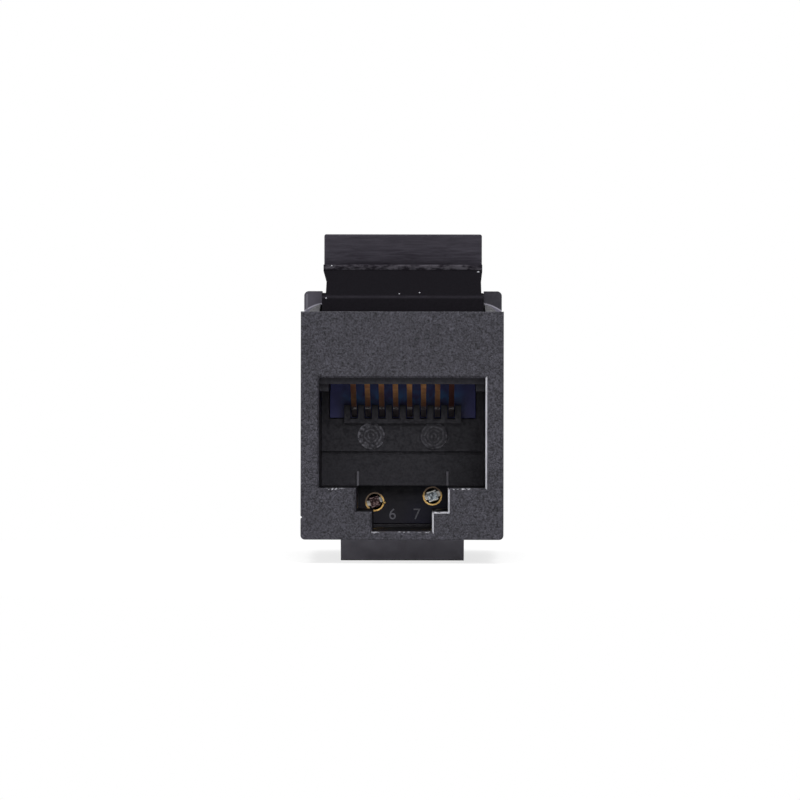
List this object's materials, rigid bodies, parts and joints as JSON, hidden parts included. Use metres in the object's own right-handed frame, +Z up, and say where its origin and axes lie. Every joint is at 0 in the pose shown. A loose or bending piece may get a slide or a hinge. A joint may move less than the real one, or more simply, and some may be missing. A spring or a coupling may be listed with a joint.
{
  "type": "ethernet socket",
  "caption": "Snap-in ethernet socket with a stepped plug port, sprung latch, circuit board, rear wire terminals and a slide-on wire cap.",
  "frame": {"origin": "centre of the front face of the housing", "axes": "+Y from the front face into the socket, +Z up towards the latch, +X to the right seen from the front"},
  "size_m": [0.0148, 0.0301, 0.0239],
  "materials": {
    "housing_black": "fine spark-eroded grain",
    "latch_black": "smooth, lightly scratched",
    "carrier_blue": "smooth moulded",
    "board_black": "solder mask",
    "gold_plate": "gold plated",
    "gold_wire": "gold plated",
    "tinned_bronze": "tinned",
    "block_black": "smooth moulded",
    "cap_black": "smooth moulded"
  },
  "bodies": {
    "socket": {"front_housing": "housing_black", "contact_carrier": "carrier_blue", "circuit_board": "board_black", "plated_holes": "gold_plate", "idc_block": "block_black", "contact_1": "gold_wire", "contact_2": "gold_wire", "contact_3": "gold_wire", "contact_4": "gold_wire", "contact_5": "gold_wire", "contact_6": "gold_wire", "contact_7": "gold_wire", "contact_8": "gold_wire", "idc_1": "tinned_bronze", "idc_2": "tinned_bronze", "idc_3": "tinned_bronze", "idc_4": "tinned_bronze", "idc_5": "tinned_bronze", "idc_6": "tinned_bronze", "idc_7": "tinned_bronze", "idc_8": "tinned_bronze"},
    "latch": {"release_latch": "latch_black"},
    "cap": {"wire_cap": "cap_black"}
  },
  "joints": [
    {"name": "latch_press", "type": "hinge", "parent": "socket", "child": "latch", "pos_m": [0, 0.00215, 0.00725], "axis": [-1, 0, 0], "range_deg": [0, 13], "stiffness_Nm_per_rad": 0.15},
    {"name": "cap_slide", "type": "slide", "parent": "socket", "child": "cap", "axis": [0, 1, 0], "range_m": [0, 0.012]}
  ]
}
